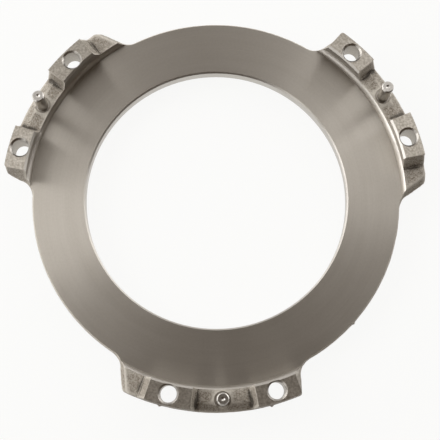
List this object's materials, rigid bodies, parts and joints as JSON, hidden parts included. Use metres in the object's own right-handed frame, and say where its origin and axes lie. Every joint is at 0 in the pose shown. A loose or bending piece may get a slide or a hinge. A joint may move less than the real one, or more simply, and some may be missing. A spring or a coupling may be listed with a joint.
{
  "type": "clutch pressure plate",
  "caption": "Cast-iron clutch pressure plate: ground annular friction face, raised drilled lugs round the rim, a steel stop pin in each lug, and a spring ridge on the back.",
  "frame": {"origin": "ring axis in the plane of the ground friction face", "axes": "+Z out of the friction face along the ring axis, first lug's pin on -Y, +X to the right when the friction face is looked at with that lug at the bottom"},
  "size_m": [0.2308, 0.2172, 0.0325],
  "materials": {
    "plate_iron": "ground friction face, machined pads and bore, rough as-cast lugs, rim and back",
    "pin_steel": "turned bright steel"
  },
  "bodies": {
    "root": {"pressure_plate": "plate_iron", "stop_pin_1": "pin_steel", "stop_pin_2": "pin_steel", "stop_pin_3": "pin_steel"}
  },
  "joints": []
}
